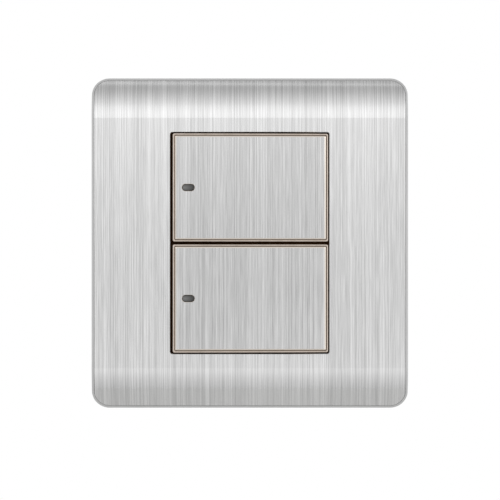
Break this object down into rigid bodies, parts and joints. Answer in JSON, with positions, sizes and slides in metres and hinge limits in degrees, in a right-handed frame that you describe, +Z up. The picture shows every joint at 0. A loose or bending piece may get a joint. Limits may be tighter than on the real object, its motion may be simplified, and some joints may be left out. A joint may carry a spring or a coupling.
{
  "type": "rocker wall switch",
  "caption": "Square flush wall switch: wide stacked rocker keys with indicator lenses in a brushed-metal surround, steel yoke and plug-in changeover modules.",
  "frame": {"origin": "on the wall plane, midway between the two box-screw slots", "axes": "+X right seen from the front, +Y into the wall, +Z up; the face looks along -Y"},
  "size_m": [0.086, 0.0296, 0.09],
  "materials": {
    "moulded_carrier": "satin silver-grey moulding",
    "brushed_skin": "fine vertical brushing",
    "yoke_steel": "zinc plated",
    "plated_trim": "champagne metallic plating",
    "brushed_insert": "fine vertical brushing",
    "smoked_lens": "smoked, polished",
    "bearing_plastic": "as moulded",
    "spring_wire": "drawn wire",
    "contact_brass": "stamped strip",
    "contact_silver": "silver alloy rivet",
    "terminal_brass": "machined",
    "screw_steel": "zinc plated",
    "base_plastic": "fine spark-eroded texture",
    "cover_plastic": "fine spark-eroded texture",
    "lamp_epoxy": "clear",
    "board_laminate": "solder resist",
    "resistor_body": "lacquered",
    "lead_wire": "tinned copper"
  },
  "bodies": {
    "housing": {"surround_carrier": "moulded_carrier", "surround_skin": "brushed_skin", "mounting_yoke": "yoke_steel", "left_terminal_upper": "terminal_brass", "right_terminal_upper": "terminal_brass", "common_terminal_upper": "terminal_brass", "fixed_contacts_upper": "contact_silver", "terminal_screws_upper": "screw_steel", "module_base_upper": "base_plastic", "module_cover_upper": "cover_plastic", "indicator_led_upper": "lamp_epoxy", "indicator_board_upper": "board_laminate", "board_resistor_upper": "resistor_body", "indicator_leads_upper": "lead_wire", "left_terminal_lower": "terminal_brass", "right_terminal_lower": "terminal_brass", "common_terminal_lower": "terminal_brass", "fixed_contacts_lower": "contact_silver", "terminal_screws_lower": "screw_steel", "module_base_lower": "base_plastic", "module_cover_lower": "cover_plastic", "indicator_led_lower": "lamp_epoxy", "indicator_board_lower": "board_laminate", "board_resistor_lower": "resistor_body", "indicator_leads_lower": "lead_wire"},
    "rocker_upper": {"rocker_bezel_upper": "plated_trim", "rocker_insert_upper": "brushed_insert", "indicator_lens_upper": "smoked_lens", "rocker_cradle_upper": "bearing_plastic", "plunger_spring_upper": "spring_wire"},
    "plunger_upper": {"plunger_upper": "bearing_plastic"},
    "seesaw_upper": {"contact_seesaw_upper": "contact_brass", "seesaw_contacts_upper": "contact_silver"},
    "rocker_lower": {"rocker_bezel_lower": "plated_trim", "rocker_insert_lower": "brushed_insert", "indicator_lens_lower": "smoked_lens", "rocker_cradle_lower": "bearing_plastic", "plunger_spring_lower": "spring_wire"},
    "plunger_lower": {"plunger_lower": "bearing_plastic"},
    "seesaw_lower": {"contact_seesaw_lower": "contact_brass", "seesaw_contacts_lower": "contact_silver"}
  },
  "joints": [
    {"name": "rocker_tilt_upper", "type": "hinge", "parent": "housing", "child": "rocker_upper", "pos_m": [0, -0.006, 0.01506], "axis": [0, 0, -1], "range_deg": [0, 6]},
    {"name": "plunger_slide_upper", "type": "slide", "parent": "rocker_upper", "child": "plunger_upper", "axis": [0.0523, -0.9986, 0], "range_m": [0, 0.0006], "stiffness_N_per_m": 400, "springref_m": -0.0025, "deforming": ["plunger_spring_upper"]},
    {"name": "seesaw_tilt_upper", "type": "hinge", "parent": "housing", "child": "seesaw_upper", "pos_m": [0, 0.0084, 0.01506], "axis": [0, 0, 1], "range_deg": [0, 18]},
    {"name": "rocker_tilt_lower", "type": "hinge", "parent": "housing", "child": "rocker_lower", "pos_m": [0, -0.006, -0.01506], "axis": [0, 0, -1], "range_deg": [0, 6]},
    {"name": "plunger_slide_lower", "type": "slide", "parent": "rocker_lower", "child": "plunger_lower", "axis": [0.0523, -0.9986, 0], "range_m": [0, 0.0006], "stiffness_N_per_m": 400, "springref_m": -0.0025, "deforming": ["plunger_spring_lower"]},
    {"name": "seesaw_tilt_lower", "type": "hinge", "parent": "housing", "child": "seesaw_lower", "pos_m": [0, 0.0084, -0.01506], "axis": [0, 0, 1], "range_deg": [0, 18]}
  ],
  "couplings": [
    {"joint": "seesaw_tilt_upper", "follows": "rocker_tilt_upper", "ratio": 3},
    {"joint": "seesaw_tilt_lower", "follows": "rocker_tilt_lower", "ratio": 3}
  ]
}
